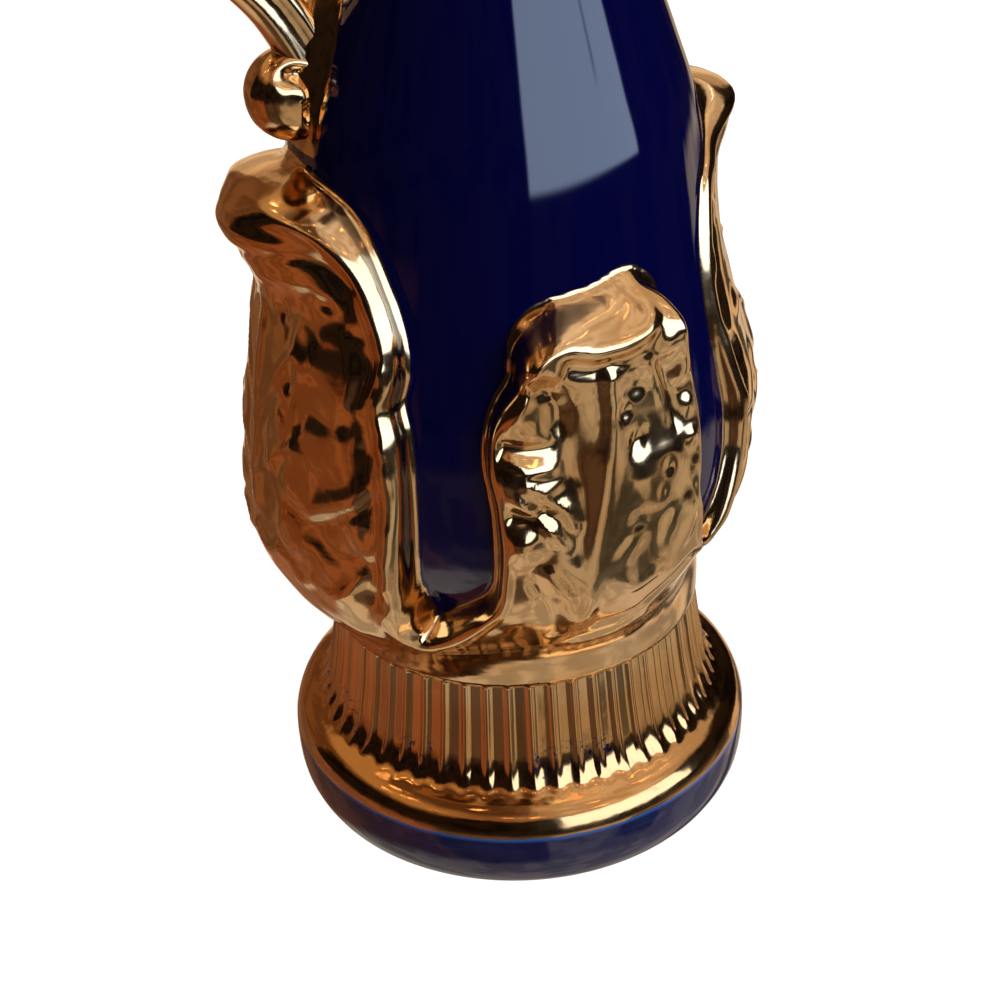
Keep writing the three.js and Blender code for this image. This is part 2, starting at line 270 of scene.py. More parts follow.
SIDE_LEAF = (
    Stroke((
        (-12.5, 132.2), (-9.2, 130.6), (-4.6, 129.2), (0.5, 129.7), (5.9, 131.4), (8.6, 133.4),
    ), 1.7, 1.9),
    Stroke(((-9.5, 134.0), (-5, 132.8), (1, 133.0), (6, 134.6)), 1.3, -1.3),
    Stroke(((-10, 127.0), (-4, 125.6), (2, 126.0), (8, 128.0)), 2.0, -1.3),
    Boss(-12.9, 126.8, 2.0, 3.0, 1.7),
    Boss(-16.6, 129.0, 5.4, 5.6, 2.4),
    Boss(-19.6, 117.8, 6.2, 6.8, 2.2, 0.0, 12),
    Boss(-21.0, 104.2, 6.8, 7.0, 2.1, 0.0, 14),
    Boss(-20.6, 91.4, 5.6, 5.4, 2.2, 0.0, 14),
    Boss(-8.6, 101.5, 4.4, 15.0, -1.2, 0.1, 6),
    Boss(-12.6, 116.5, 2.8, 5.0, -1.2, 0.2),
    Stroke(((-22, 126.8), (-20, 125.0), (-17.2, 123.4), (-13.6, 121.5)), 1.2, -0.9),
    Stroke(((-25, 112.6), (-23, 111.8), (-19.1, 110.6), (-14.2, 110.8)), 1.2, -1.0),
    Stroke(((-24, 98.4), (-20, 97.2), (-16, 98.0)), 1.0, -1.0),
    Stroke(((-22.4, 109.4), (-19, 107.4), (-13.8, 106.6)), 0.8, 1.0),
    Stroke(((-19.4, 104.6), (-16.6, 102.8), (-13.0, 103.0)), 0.8, 0.9),
    Stroke(((-21, 101.3), (-16.9, 96.9), (-13.2, 90.9)), 1.0, 1.1),
    Stroke(((-15.7, 101.3), (-11.4, 97.8), (-9.6, 93.6)), 0.9, 1.0),
    Stroke(((-14.4, 94.6), (-11.6, 90.0)), 0.9, 0.9),
    Stroke(((-1.4, 124.0), (-0.6, 116.1), (-1.6, 108.4), (-3.3, 98.8), (-5.5, 86.0), (-7.4, 71.0)), 1.8, 1.5),
    Boss(1.4, 115.4, 1.7, 2.2, -1.1),
    Boss(4.6, 108.6, 2.2, 3.6, -1.5, 0.0, -12),
    Boss(4.8, 120.6, 3.2, 3.4, -0.9),
    Boss(11.4, 126.6, 2.6, 3.2, 1.0),
    Boss(15.6, 119.5, 2.2, 3.0, 1.2),
    Boss(17.6, 112.6, 2.0, 2.7, 1.1),
    Boss(17.8, 106.0, 2.0, 2.6, 1.0),
    Boss(18.4, 99.0, 2.0, 3.0, 0.9),
    Boss(10.6, 100.4, 5.4, 6.6, 0.55, 0.6),
    Boss(14.2, 87.0, 4.6, 7.4, 0.7, 0.6, -10),
    Boss(11.2, 101.8, 1.1, 1.8, -0.8),
    Boss(9.2, 97.0, 0.9, 1.5, -0.7),
    Stroke(((7.0, 125.0), (10.4, 119.0), (12.0, 112.0)), 1.3, 0.6),
    Stroke(((10.4, 123.0), (13.2, 116.4), (14.4, 109.4)), 1.0, -0.9),
    Boss(4.4, 92.0, 2.6, 5.0, -0.5, 0.2, 8),
    Stroke(((-15.7, 84.4), (-11.3, 77.5), (-9.5, 66.0)), 1.7, 1.2),
    Stroke(((-18.2, 82.0), (-15.0, 74.0), (-13.0, 66.0)), 1.3, -0.7),
    Stroke(((-13.2, 87.5), (-8.0, 80.5), (0.3, 84.4), (4.0, 88.6)), 1.8, 0.8),
    Stroke(((-1.0, 80.0), (4.0, 76.0), (8.4, 78.0)), 1.4, 0.8),
    Stroke(((-3.2, 66.0), (6.7, 67.3), (13.4, 71.4), (20, 75.4)), 0.9, -0.9),
    Stroke(((-8.0, 60.0), (2.0, 61.0), (10.0, 64.0)), 1.3, 0.7),
)

HANDLE_LEAF = (
    Stroke(((-90, 84), (-90, 104), (-90, 128)), 2.0, 0.9),
    Stroke(((-88, 92), (-80, 99), (-72, 104)), 1.2, 0.7),
    Stroke(((-88, 108), (-81, 115), (-75, 122)), 1.2, 0.7),
    Boss(-48.6, 118.5, 2.0, 2.2, 1.1),
    Boss(-47.4, 114.4, 1.8, 2.0, 1.0),
    Boss(-48.4, 109.8, 2.0, 2.3, 1.0),
    Stroke(((-66.4, 92.0), (-59.4, 95.6), (-54.4, 98.2), (-50.9, 101.8), (-48.8, 105.2)), 2.6, 1.1),
    Stroke(((-66.2, 89.4), (-59.2, 93.0), (-54.2, 95.6), (-50.9, 98.8)), 1.3, -0.9),
    Stroke(((-53.5, 116), (-51.2, 119.5), (-49.0, 125)), 0.8, 0.9),
    Stroke((
        (-90, 140.0), (-84, 141.0), (-76.1, 142.6), (-68.5, 143.8), (-62.7, 142.4), (-58, 138.6),
    ), 1.5, -1.2),
    Stroke(((-84, 136), (-74, 138.0), (-66, 138.6), (-61, 135.6)), 1.3, 0.7),
    Boss(-79.5, 130.1, 2.2, 2.8, -1.0),
    Boss(-75.1, 116.4, 1.8, 3.0, -0.9, 0.0, -20),
    Boss(-70.6, 109.3, 1.7, 2.8, -0.9, 0.0, -24),
    Boss(-63.0, 135.0, 2.6, 1.8, -1.0),
    Boss(-56.5, 129.4, 2.0, 2.2, -0.8),
    Boss(-57.6, 113.0, 2.0, 3.0, -0.7),
    Boss(-61.5, 122.0, 5.4, 9.0, 0.8, 0.7),
    Boss(-70.5, 124.0, 4.0, 6.0, 0.7, 0.6, 10),
    Boss(-70.4, 98.0, 4.6, 6.0, 0.7, 0.65),
    Boss(-79.4, 103.0, 3.8, 7.0, 0.7, 0.65, -12),
    Boss(-73.0, 84.6, 5.2, 4.6, 0.8, 0.65),
    Boss(-60.0, 87.0, 5.6, 5.4, -0.9, 0.5),
    Boss(-53.4, 90.6, 3.0, 4.6, 0.7, 0.5),
    Boss(-82.4, 88.0, 4.0, 5.0, -0.6, 0.4),
    Stroke((
        (-90, 78.4), (-86.6, 76.6), (-83.2, 75.6), (-79, 78.4), (-74.1, 77.6), (-70, 74.4), (-66.9, 76.0),
        (-60.8, 73.8), (-56.4, 78.0), (-53.4, 81.3),
    ), 1.2, 1.1),
    Stroke(((-72, 74), (-66, 68.6), (-58, 65)), 1.6, 0.8),
    Boss(-50.4, 76.0, 2.6, 3.4, -1.1, 0.3),
    Stroke(((-52, 86.5), (-49.6, 88.4), (-47.8, 85.4), (-48.6, 79.6)), 0.9, 1.0),
)

SPOUT_LEAF = (
    Stroke(((90, 76), (90, 100), (90, 126)), 2.0, 1.0),
    Stroke(((88, 84), (77, 92), (66, 99)), 1.2, 0.9),
    Stroke(((88, 101), (78, 109), (68, 116)), 1.2, 0.9),
    Stroke(((88, 118), (80, 124), (72, 130)), 1.2, 0.8),
    Boss(50.0, 142.0, 3.0, 4.0, 0.9),
    Boss(42.6, 131.6, 2.2, 4.4, 1.2),
    Boss(43.0, 123.0, 2.0, 3.0, -0.9),
    Boss(54.0, 120.0, 3.0, 4.4, 0.9),
    Boss(47.0, 112.6, 2.6, 3.6, -1.0),
    Boss(43.8, 104.0, 2.4, 3.2, 1.0),
    Boss(57.0, 104.0, 3.2, 6.0, -0.9, 0.3),
    Boss(47.6, 92.0, 3.4, 6.4, -1.0, 0.4, -20),
    Boss(62.6, 96.0, 4.0, 6.0, 0.8, 0.5),
    Boss(71.0, 108.0, 4.4, 6.4, 0.8, 0.6),
    Boss(77.0, 91.0, 4.6, 5.6, -0.7, 0.4),
    Boss(66.0, 82.0, 5.0, 5.0, 0.8, 0.6),
    Boss(61.0, 132.0, 4.0, 5.0, -0.7, 0.3),
    Stroke(((36, 78), (42, 74), (52, 73), (62, 76), (74, 73), (90, 75)), 1.3, 0.9),
)


@dataclass
class LeafCup:
    """Bowl of the body with its four raised leaves; millimetres and degrees."""

    body: Curve = Curve([
        (46.4, 42.0), (48, 42.5), (52, 42.5), (58, 42.2), (64, 43.4), (70, 46.2), (76, 49), (82, 50.6),
        (88, 51.2), (98, 51), (110, 49.4), (122, 47.2), (134, 44.9), (146, 43), (158, 41), (164, 39.5),
        (170, 37.4), (176, 35.3), (184, 32.4), (195, 28.4), (210, 23.8), (225, 20.4), (240, 18.6),
        (255, 18.4), (270, 20.2), (283, 23.2), (294, 26.2), (300, 27.6),
    ])
    handle_face: Curve = Curve([
        (46.4, 42.2), (48, 43.3), (50, 44.4), (55, 48.2), (60, 52.1), (65, 55.7), (70, 57.7), (75, 58.5),
        (80, 58.3), (92, 57.4), (104, 55.5), (116, 53.3), (122, 51.9), (128, 50.6), (134, 52), (139, 54.4),
        (143, 56.8), (146.4, 57.9), (149, 57.3), (151, 54.6), (153, 49.8), (155.2, 43.4),
    ])
    spout_face: Curve = Curve([
        (46.4, 42.0), (48, 42.7), (52, 42.8), (56, 42.8), (60, 43.4), (65, 45.2), (70, 48), (75, 51),
        (80, 53.4), (86, 54.4), (98, 54.8), (104, 54.3), (110, 52.6), (116, 50.8), (122, 49.2), (128, 47.8),
        (134, 46.8), (140, 47), (146, 49.6), (151, 52.9), (154.6, 54), (157, 52.6), (159, 48.4),
        (160.6, 43.2),
    ])
    side_face: Curve = Curve([
        (46.4, 42.2), (48, 43.3), (50, 43.7), (55, 45), (60, 47.4), (65, 50.4), (70, 53.2), (75, 55.2),
        (80, 56.2), (92, 56.6), (104, 55.8), (112, 54.8), (118, 54.3), (124, 55.1), (129, 56.2),
        (131.6, 55.4), (134, 52.2), (136.4, 48),
    ])
    edge_handle: Curve = Curve([
        (61.6, -48.6), (66, -48.2), (70, -47.2), (76, -45.8), (85, -44.6), (98, -44), (110, -44.6),
        (117, -46.4), (122, -45.4), (128, -45.6), (134.4, -47.8), (139, -50.4), (144, -53.6), (148.2, -57.8),
        (151.6, -63.4), (153.6, -71), (155.2, -82), (162, -70),
    ])
    edge_side_low: Curve = Curve([
        (61.6, -39), (65, -35.6), (70, -31), (75.6, -26.8), (80, -26), (87, -25.4), (98, -25.8), (106, -27.2),
        (114, -26.4), (119, -24.2), (123, -21.2), (129, -19.8), (133, -15.8), (135.4, -12.4), (150, -20),
    ])
    edge_side_high: Curve = Curve([
        (76, 26.6), (79, 24.4), (83, 23.2), (88, 22.4), (94, 21), (102, 21.8), (110, 21.8), (116, 20.4),
        (122, 19.4), (128, 17.6), (131.4, 17), (134.8, 15.6), (137.4, 12.4), (150, 20),
    ])
    edge_spout: Curve = Curve([
        (76, 28.6), (80, 31), (85, 33.6), (90, 36.2), (94, 37.6), (99, 38), (105, 38.6), (116, 37.4),
        (126, 37.2), (136, 38.6), (147, 44), (152, 53), (155.8, 65), (160.4, 82), (166, 70),
    ])
    outline: tuple[Span, ...] = (
        (-90, 155.6), (-82, 155.2), (-71, 153.6), (-63.4, 151.6), (-57.8, 148.2), (-53.6, 144), (-50.4, 139),
        (-47.8, 134.4), (-45.6, 128), (-45.4, 122), (-46.4, 117), (-44.6, 110), (-44, 98), (-44.6, 85),
        (-45.8, 76), (-47, 70), (-47.4, 66.6), (-46.6, 63.8), (-44.4, 62.4), (-41.2, 62.8), (-37, 65.4),
        (-33, 68.6), (-29.4, 72.4), (-26.9, 75.8), (-26, 80), (-25.4, 87), (-25.8, 98), (-27.2, 106),
        (-26.4, 114), (-24.2, 119), (-21.2, 123), (-20.6, 126.4), (-19.6, 129.6), (-16.4, 133), (-12, 134.8),
        (-6, 135.6), (0, 136.4), (5, 137.8), (9, 138.4), (12.9, 137), (15.6, 134.8), (17, 131.4), (17.6, 128),
        (19.2, 123),
        (20.8, 117), (21.8, 110), (21.8, 102), (21, 94), (22.4, 88), (23.2, 83), (24.4, 79), (26.8, 76.2),
        (28.8, 77.6), (31, 80.6), (33.6, 85), (36.2, 90), (37.6, 94), (38, 99), (38.6, 105), (37.4, 116),
        (37.2, 126), (38.6, 136), (44, 147), (53, 152), (65, 155.8), (82, 160.4), (90, 160.9),
    )
    floor_handle: float = 62.0
    floor_spout: float = 76.0
    edge_width: float = 1.7
    curl_from: float = 128.0
    ledge: float = 2.8
    sunk: float = 0.9
    side_reach: float = 56.2
    front_reach: float = 54.3
    reach_ease: float = 1.1
    handle_tip_spread: float = 2.0
    spout_tip_spread: float = 2.6
    noise: Noise = field(default_factory=lambda: Noise(7))

    def cup(self, angle: np.ndarray, z: np.ndarray) -> np.ndarray:
        """Radius of the gilded cup without its leaves' carving.

        Args:
            angle: Angle from the side towards the spout.
            z: Height.

        Returns:
            Radii.
        """
        to_handle = 1 - ramp(-62, -20, angle)
        to_spout = ramp(5, 46, angle)
        return (
            to_handle * self.handle_face(z)
            + to_spout * self.spout_face(z)
            + (1 - to_handle - to_spout) * self.side_face(z)
        )

    def gilt_depth(self, angle: np.ndarray, z: np.ndarray) -> np.ndarray:
        """Signed distance from the leaves' outline.

        Args:
            angle: Angle from the side towards the spout.
            z: Height.

        Returns:
            Millimetres inside the leaves, negative on the blue body.
        """
        line = spline(np.array(self.outline, float), 4) * (LEAF_ARC, 1.0)
        x, y = np.asarray(angle, float) * LEAF_ARC, np.asarray(z, float)
        best = np.full(x.shape, 1e9)
        inside = np.zeros(x.shape, bool)
        for (ax, ay), (bx, by) in zip(line[:-1], line[1:]):
            dx, dy = bx - ax, by - ay
            t = np.clip(((x - ax) * dx + (y - ay) * dy) / (dx * dx + dy * dy), 0, 1)
            best = np.minimum(best, (x - ax - t * dx) ** 2 + (y - ay - t * dy) ** 2)
            crosses = (ax > x) != (bx > x)
            inside ^= crosses & (y < ay + (x - ax) * dy / np.where(dx == 0, 1, dx))
        ends = np.abs(x) >= 90 * LEAF_ARC - 1e-6
        inside = np.where(ends, y < np.where(x < 0, line[0, 1], line[-1, 1]), inside)
        return np.where(inside, np.sqrt(best), -np.sqrt(best))

    def columns(self, z: float, counts: tuple[int, ...]) -> np.ndarray:
        """Angles round the axis of a row's points, set on the leaves' edges.

        Args:
            z: Height.
            counts: Columns on the spout's leaf, gap, side leaf, gap and handle's leaf.

        Returns:
            Angles in radians, rising from the spout.
        """
        keys = [90.0] + [float(edge(z)) for edge in (
            self.edge_spout, self.edge_side_high, self.edge_side_low, self.edge_handle)] + [-90.0]
        half: list[float] = []
        for k, count in enumerate(counts):
            t = np.arange(count) / count
            if k == 0:
                t = t + 0.16 * np.sin(np.pi * t) * t
            elif k == 2:
                t = t - 0.09 * np.sin(2 * np.pi * t)
            elif k == 4:
                t = 1 - ((1 - t) + 0.16 * np.sin(np.pi * (1 - t)) * (1 - t))
            half.extend(keys[k] + (keys[k + 1] - keys[k]) * t)
        half.append(-90.0)
        turns = [90 - a for a in half]
        turns += [360 - t for t in turns[-2:0:-1]]
        return np.radians(np.array(turns))

    def radius(self, angle: np.ndarray, z: np.ndarray, turn: np.ndarray) -> tuple[np.ndarray, np.ndarray]:
        """Outside of the body and its leaves.

        Args:
            angle: Angle from the side towards the spout.
            z: Height.
            turn: Angle round the axis in radians.

        Returns:
            Radii, and the depth inside the gilding.
        """
        body = self.body(z)
        depth = self.gilt_depth(angle, z)
        cup = self.cup(angle, z)

        def tall(table: Curve, from_middle: np.ndarray, spread: float) -> np.ndarray:
            """Face of a tall leaf, which curls out most at its middle.

            Args:
                table: Radii down the leaf's middle.
                from_middle: Angle from the leaf's middle.
                spread: How fast the curl falls off sideways.

            Returns:
                Radii.
            """
            curl = np.cos(np.radians(np.clip(from_middle * spread, 0, 90))) ** 2
            level = body + table(self.curl_from) - self.body(self.curl_from)
            low = cup + (table(z) - cup) * ramp(80, 92, z)
            return np.where(z < self.curl_from, low, level + (table(z) - level) * curl)

        on_handle, on_spout = angle < -36, angle > 29.5
        handle = tall(self.handle_face, 90 + angle, self.handle_tip_spread)
        spout = tall(self.spout_face, 90 - angle, self.spout_tip_spread)
        side = cup + (self.side_face(z) - cup) * ramp(80, 92, z)
        face = np.where(on_handle, handle, np.where(on_spout, spout, side))
        face = np.where(z < np.where(angle < 0, self.floor_handle, self.floor_spout), cup, face)
        x = angle * LEAF_ARC
        carving = np.zeros(x.shape)
        leaves = ((on_handle, HANDLE_LEAF), (on_spout, SPOUT_LEAF), (~on_handle & ~on_spout, SIDE_LEAF))
        for mask, strokes in leaves:
            total = np.zeros(int(mask.sum()))
            for stroke in strokes:
                total += stroke.lift(x[mask], z[mask])
            carving[mask] = total * (0.75 if strokes is HANDLE_LEAF else 1.0)
        rim = 1.2 * bell(depth, 2.5, 1.4) - 0.9 * bell(depth, 6.4, 2.4)
        carving += rim * np.where(on_handle | on_spout, ramp(64, 74, z), 0.75 * ramp(112, 122, z))
        spot = np.stack([body * np.cos(turn), body * np.sin(turn), z], -1).reshape(-1, 3)
        slow = self.noise(spot, 8.4).reshape(z.shape)
        quick = self.noise(spot + 31.0, 3.2).reshape(z.shape)
        rough = 0.3 * np.tanh(2.4 * slow) + 0.05 * quick
        near_lip = np.where(on_spout, ramp(146, 152, z), ramp(127, 131, z))
        smooth_lip = np.where(on_handle, ramp(140, 147, z), near_lip)
        carving += rough * (0.3 + 0.7 * ramp(54, 72, z)) * (1 - 0.85 * smooth_lip)
        ledge = self.ledge * (1 - ramp(68, 80, z)) * ramp(-53, -50, angle) * (1 - ramp(-25, -20, angle))
        stand = np.maximum(0.0, face - body)
        width = self.edge_width + 0.09 * np.clip(stand - 4, 0, 12)
        t = np.clip((depth + ledge) / (width + ledge), 0, 1)
        rise = (1 - (1 - t) ** 2) ** 0.62
        sunk = self.sunk - 0.8 * on_handle * ramp(66, 80, z)
        lift = np.maximum(0.0, stand + (carving - sunk) * ramp(0.8, 3.2, depth))
        radius = body + lift * rise
        reach = self.side_reach / np.maximum(np.abs(np.sin(turn)), 1e-6)
        ahead = np.where(np.cos(turn) > 1e-6, self.front_reach / np.maximum(np.cos(turn), 1e-6), 99.0)
        ease = self.reach_ease
        reach = np.minimum(reach, ahead)
        over = np.maximum(0.0, radius - reach + ease)
        return np.where(over > 0, reach - ease + ease * (1 - np.exp(-over / ease)), radius), depth + ledge


@dataclass
class Foot:
    """Fluted foot with its blue band; millimetres."""

    band: tuple[Span, ...] = (
        (51.2, 0.0), (51.8, 0.25), (52.4, 0.9), (53.2, 2.4), (53.9, 4.4), (54.25, 6.6), (54.36, 9),
        (54.38, 11.4), (54.3, 13.2), (54.15, 14.8), (53.95, 15.5),
    )
    shoulder: tuple[Span, ...] = (
        (53.7, 16.2), (53.35, 17.1), (52.8, 18.1), (51.9, 19.1), (50.8, 19.9), (49.6, 20.5), (48.4, 20.95),
    )
    wall: Curve = Curve([
        (20.95, 48.4), (22, 47.2), (23.6, 46.3), (27, 45.2), (30.4, 44.5), (37, 43.3), (43, 42.5),
        (46.4, 42.0),
    ])
    flutes: int = 56
    flute_depth: float = 1.0
    gilt_from: float = 15.6

    def wall_heights(self) -> list[float]:
        """List the fluted wall's rings.

        Returns:
            Their heights.
        """
        low = [21.2, 21.6, 22.1, 22.7, 23.4, 24.2, 25.2, 26.6]
        high = [29, 32, 35, 38, 40.6, 42.2, 43.2, 44, 44.8, 45.6, 46.4]
        return low + high

    def wall_radius(self, z: float, turn: np.ndarray) -> np.ndarray:
        """Radius of the fluted wall.

        Args:
            z: Height.
            turn: Angle round the axis in radians.

        Returns:
            Radii.
        """
        phase = np.abs(((turn * self.flutes / (2 * math.pi)) + 0.5) % 1.0 - 0.5) * 2
        valley = ramp(0.06, 0.5, phase)
        arch = 21.5 + 2.6 * (1 - np.sqrt(np.clip(1 - ((1 - phase) / 0.72) ** 2, 0, 1)))
        fade = ramp(-2.5, 5.5, z - arch)
        return self.wall(z) - self.flute_depth * valley * fade


@dataclass
class Mouth:
    """Neck's mouth, drawn out to a spout; millimetres."""

    start: float = 250.0
    rim: float = 300.0
    reach: float = 20.0
    rise: float = 33.7
    back_rise: float = 7.0
    pinch: float = 0.14

    def place(self, turn: np.ndarray, radius: np.ndarray, z: float) -> np.ndarray:
        """Points of a ring, pinched at the sides and drawn out at the spout.

        Args:
            turn: Angles round the axis in radians.
            radius: Radii before the shaping.
            z: Height before the shaping.

        Returns:
            Points, one per row.
        """
        share = float(ramp(self.start, self.rim, z))
        cos, sin = np.cos(turn), np.sin(turn)
        front = ((1 + cos) / 2) ** 2.4
        back = ((1 - cos) / 2) ** 3
        wide = radius * (1 - self.pinch * share * sin * sin)
        return np.stack([
            wide * cos + self.reach * share * share * front,
            wide * sin * (1 - 0.34 * share * front),
            z + share ** 2 * (self.rise * front + self.back_rise * back),
        ], -1)


@dataclass
class Spur:
    """Leaf that runs up the body behind the handle's scroll; millimetres and degrees."""

    low: float = 159.0
    high: float = 208.0
    height: float = 5.0
    half_angle: float = 12.4

    def lift(self, angle: np.ndarray, z: np.ndarray) -> tuple[np.ndarray, np.ndarray]:
        """Raise the body under the spur.

        Args:
            angle: Angle from the side towards the spout.
            z: Height.

        Returns:
            Height of the spur, and the depth inside its outline.
        """
        width = self.half_angle * np.sqrt(np.clip(1 - ramp(self.low + 14, self.high, z), 0, 1)) + 1e-6
        share = np.clip((90 + angle) / width, 0, 1)
        rise = ramp(self.low, self.low + 12, z) * (1 - ramp(self.low + 22, self.high, z))
        depth = np.minimum((width - (90 + angle)) * 0.6, (self.high - 2 - z))
        depth = np.minimum(depth, z - self.low)
        return self.height * rise * (1 - share ** 2) ** 1.2, depth


@dataclass
class Body:
    """Fired body from the foot to the mouth, outside and inside, as one mesh."""

    cup: LeafCup = field(default_factory=LeafCup)
    foot: Foot = field(default_factory=Foot)
    mouth: Mouth = field(default_factory=Mouth)
    spur: Spur = field(default_factory=Spur)
    back: tuple[int, ...] = (52, 12, 64, 14, 54)
    front: tuple[int, ...] = (66, 16, 84, 18, 68)
    wall: float = 5.0
    neck_wall: float = 4.4
    rim_gilt: float = 5.0
    thick_below: float = 200.0
    underside: tuple[tuple[float, float, float], ...] = (
        (12.0, 4.0, 0.2), (43.0, 4.0, 0.2), (47.0, 0.2, 0.7), (47.4, 0.0, 1.0),
    )
    leaf_rows: tuple[tuple[float, float, float], ...] = (
        (46.8, 60.0, 1.2), (60.0, 80.0, 0.87), (80.0, 116.0, 1.0), (116.0, 139.0, 0.7), (139.0, 146.0, 0.8),
        (146.0, 162.2, 0.62),
    )
    neck_rows: tuple[float, ...] = (
        163.5, 165.5, 168, 171, 174.5, 178, 182, 186, 190, 194, 198, 203, 209, 217, 227, 239, 250, 260, 269,
        277, 284, 290, 296,
    )
    rim_roll: tuple[Span, ...] = (
        (-0.3, 2.2), (-0.15, 1.2), (0.3, 0.55), (1.0, 0.15), (1.9, 0.0), (2.8, 0.2), (3.6, 0.8),
    )
    cavity_rows: tuple[float, ...] = (
        294, 287, 279, 272, 263, 254, 243, 232, 222, 212, 203, 194, 186, 178, 171, 164, 158, 152, 144, 136,
        127, 118, 109, 100, 93, 86, 80, 75, 70, 66, 61, 57,
    )
    cavity_foot: tuple[Span, ...] = (
        (38, 9), (43.5, 10), (45, 12.5), (44, 15.5), (41, 22), (38.6, 31), (37, 41), (36.2, 48),
    )

    def turns(self, z: float = 0.0) -> np.ndarray:
        """Angles of a ring's points: even below and above the leaves, set on the leaves' edges between.

        Args:
            z: Height of the ring.

        Returns:
            Angles round the axis in radians, rising from the spout.
        """
        n, m = sum(self.back), sum(self.front)
        even = np.concatenate([np.arange(n) * math.pi / n, math.pi + np.arange(m) * math.pi / m])
        share = float(ramp(47, 61, z) * (1 - ramp(163, 200, z)))
        if share == 0:
            return even
        back = self.cup.columns(z, self.back)[:n]
        front = self.cup.columns(z, self.front)[m:]
        return even * (1 - share) + np.concatenate([back, front]) * share

    @staticmethod
    def angle(turn: np.ndarray) -> np.ndarray:
        """Angle from the side towards the spout, in degrees, of an angle round the axis in radians."""
        return 90 - np.abs((np.degrees(turn) + 540) % 360 - 180)

    @staticmethod
    def soften(radii: np.ndarray, depth: np.ndarray, lip: np.ndarray) -> np.ndarray:
        """Round off the leaves' edges.

        Args:
            radii: Radius at each point of the leaves' rings.
            depth: Distance inside the leaves' outline.
            lip: 1 on the side leaves' lips, 0 elsewhere.

        Returns:
            The softened radii.
        """
        share = np.clip(0.16 + 0.5 * bell(depth, 1.2, 1.6) + 0.6 * lip, 0, 0.8) * ramp(-1.1, 0.0, depth)
        for _ in range(4):
            padded = np.concatenate([radii[:1], radii, radii[-1:]])
            around = (
                np.roll(radii, 1, 1) + np.roll(radii, -1, 1) + padded[:-2] + padded[2:]
            ) / 4
            radii = radii + share * (around - radii)
        return radii

    def build(self) -> bpy.types.Object:
        """Loft the rings into the mesh.

        Returns:
            The body's object.
        """
        thin = 1
        base = self.turns()
        small = base[::4]
        turn = base[::thin]
        rings: list[np.ndarray] = []
        gilt: list[np.ndarray] = []
        clay: list[float] = []

        def circle(around: np.ndarray, radius: np.ndarray | float, z: float) -> np.ndarray:
            """Points of a level ring round the axis."""
            r = np.broadcast_to(radius, around.shape)
            return np.stack([r * np.cos(around), r * np.sin(around), np.full(around.shape, z)], -1)

        def add(points: np.ndarray, gold: np.ndarray | float, bare: float = 0.0) -> None:
            """Keep a ring.

            Args:
                points: Points of the ring.
                gold: Depth inside the gilding.
                bare: Share of bare clay.
            """
            rings.append(points)
            gilt.append(np.broadcast_to(np.asarray(gold, float), (len(points),)).copy())
            clay.append(bare)

        for radius, z, bare in self.underside:
            add(circle(small, radius, z), ALL_GLAZE, bare)
        for radius, z in self.foot.band:
            add(circle(turn, radius, z), z - self.foot.gilt_from, 1.0 if z < 0.2 else 0.0)
        for radius, z in self.foot.shoulder:
            add(circle(turn, radius, z), z - self.foot.gilt_from)
        for z in self.foot.wall_heights():
            add(circle(turn, self.foot.wall_radius(z, turn), z), z - self.foot.gilt_from)
        heights = np.concatenate([np.arange(*rows) for rows in self.leaf_rows])[::thin]
        grid_turn = np.array([self.turns(z) for z in heights])[:, ::thin]
        grid_angle = self.angle(grid_turn)
        grid_z = np.broadcast_to(heights[:, None], grid_turn.shape)
        radii, depth = self.cup.radius(grid_angle, grid_z, grid_turn)
        lip = bell(grid_z, 131.5, 4.5) * (np.abs(grid_angle) < 22)
        corner = bell(grid_z, 64.0, 4.5) * bell(grid_angle, -45.0, 6.0)
        radii = self.soften(radii, depth, lip + corner)
        depth = depth + 0.8 * ramp(126, 131, grid_z) * (np.abs(grid_angle) < 24)
        for i, z in enumerate(heights):
            lift, inside = self.spur.lift(grid_angle[i], grid_z[i])
            outside = np.maximum(radii[i], self.cup.body(z) + lift)
            add(circle(grid_turn[i], outside, z), np.maximum(depth[i], inside))
        for z in self.neck_rows:
            around = self.turns(z)[::thin]
            angle = self.angle(around)
            lift, inside = self.spur.lift(angle, np.full(angle.shape, float(z)))
            gold = np.maximum(inside, z - (self.mouth.rim - self.rim_gilt))
            add(self.mouth.place(around, self.cup.body(z) + lift, z), gold)
        edge = float(self.cup.body(self.mouth.rim))
        for inset, drop in self.rim_roll:
            points = self.mouth.place(turn, np.full(turn.shape, edge - inset), self.mouth.rim)
            points[:, 2] -= drop
            add(points, ALL_GOLD)
        points = self.mouth.place(small, np.full(small.shape, edge - 4.2), self.mouth.rim)
        points[:, 2] -= 2.0
        add(points, 0.3)
        for z in self.cavity_rows:
            wall = self.neck_wall if z > self.thick_below else self.wall
            add(self.mouth.place(small, np.full(small.shape, float(self.cup.body(z)) - wall), z), ALL_GLAZE)
        for radius, z in reversed(self.cavity_foot):
            add(circle(small, radius, z), ALL_GLAZE)
        return self.mesh(rings, gilt, clay)

